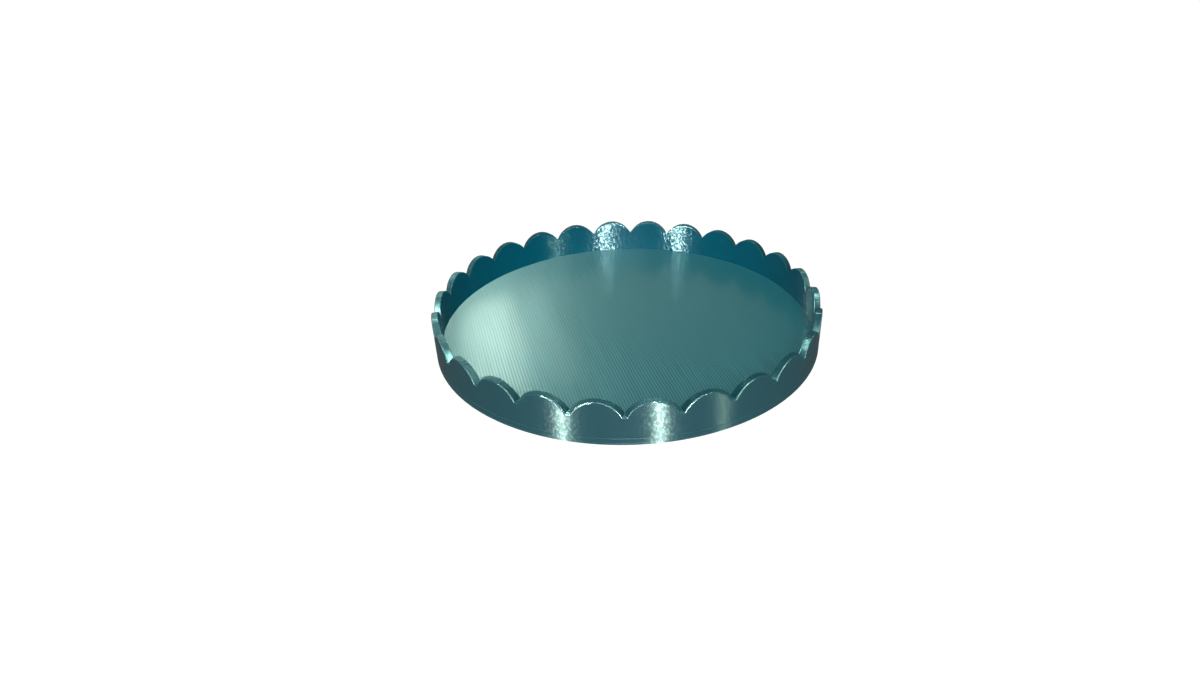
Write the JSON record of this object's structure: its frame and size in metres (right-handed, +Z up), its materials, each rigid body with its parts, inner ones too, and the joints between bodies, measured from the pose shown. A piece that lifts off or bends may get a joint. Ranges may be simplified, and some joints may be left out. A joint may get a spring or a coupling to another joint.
{
  "type": "trinket tray",
  "caption": "Shallow round trinket tray with a flat floor, a low upright wall and a rim of round scallops that meet in sharp notches.",
  "frame": {"origin": "middle of the foot, on the surface the tray stands on", "axes": "+Z up out of the open side; a notch of the rim faces +Y and another faces -Y, and the tops of two lobes face +X and -X"},
  "size_m": [0.12, 0.12, 0.013],
  "materials": {
    "wall_silk_teal": "silk filament printed upright: satin with a metallic shimmer, fine level layer lines, brighter where it faces a light",
    "floor_silk_teal": "silk filament laid in straight lines side by side: satin sheen that spreads across the lines"
  },
  "bodies": {
    "root": {"scalloped_wall": "wall_silk_teal", "floor_plate": "floor_silk_teal"}
  },
  "joints": []
}
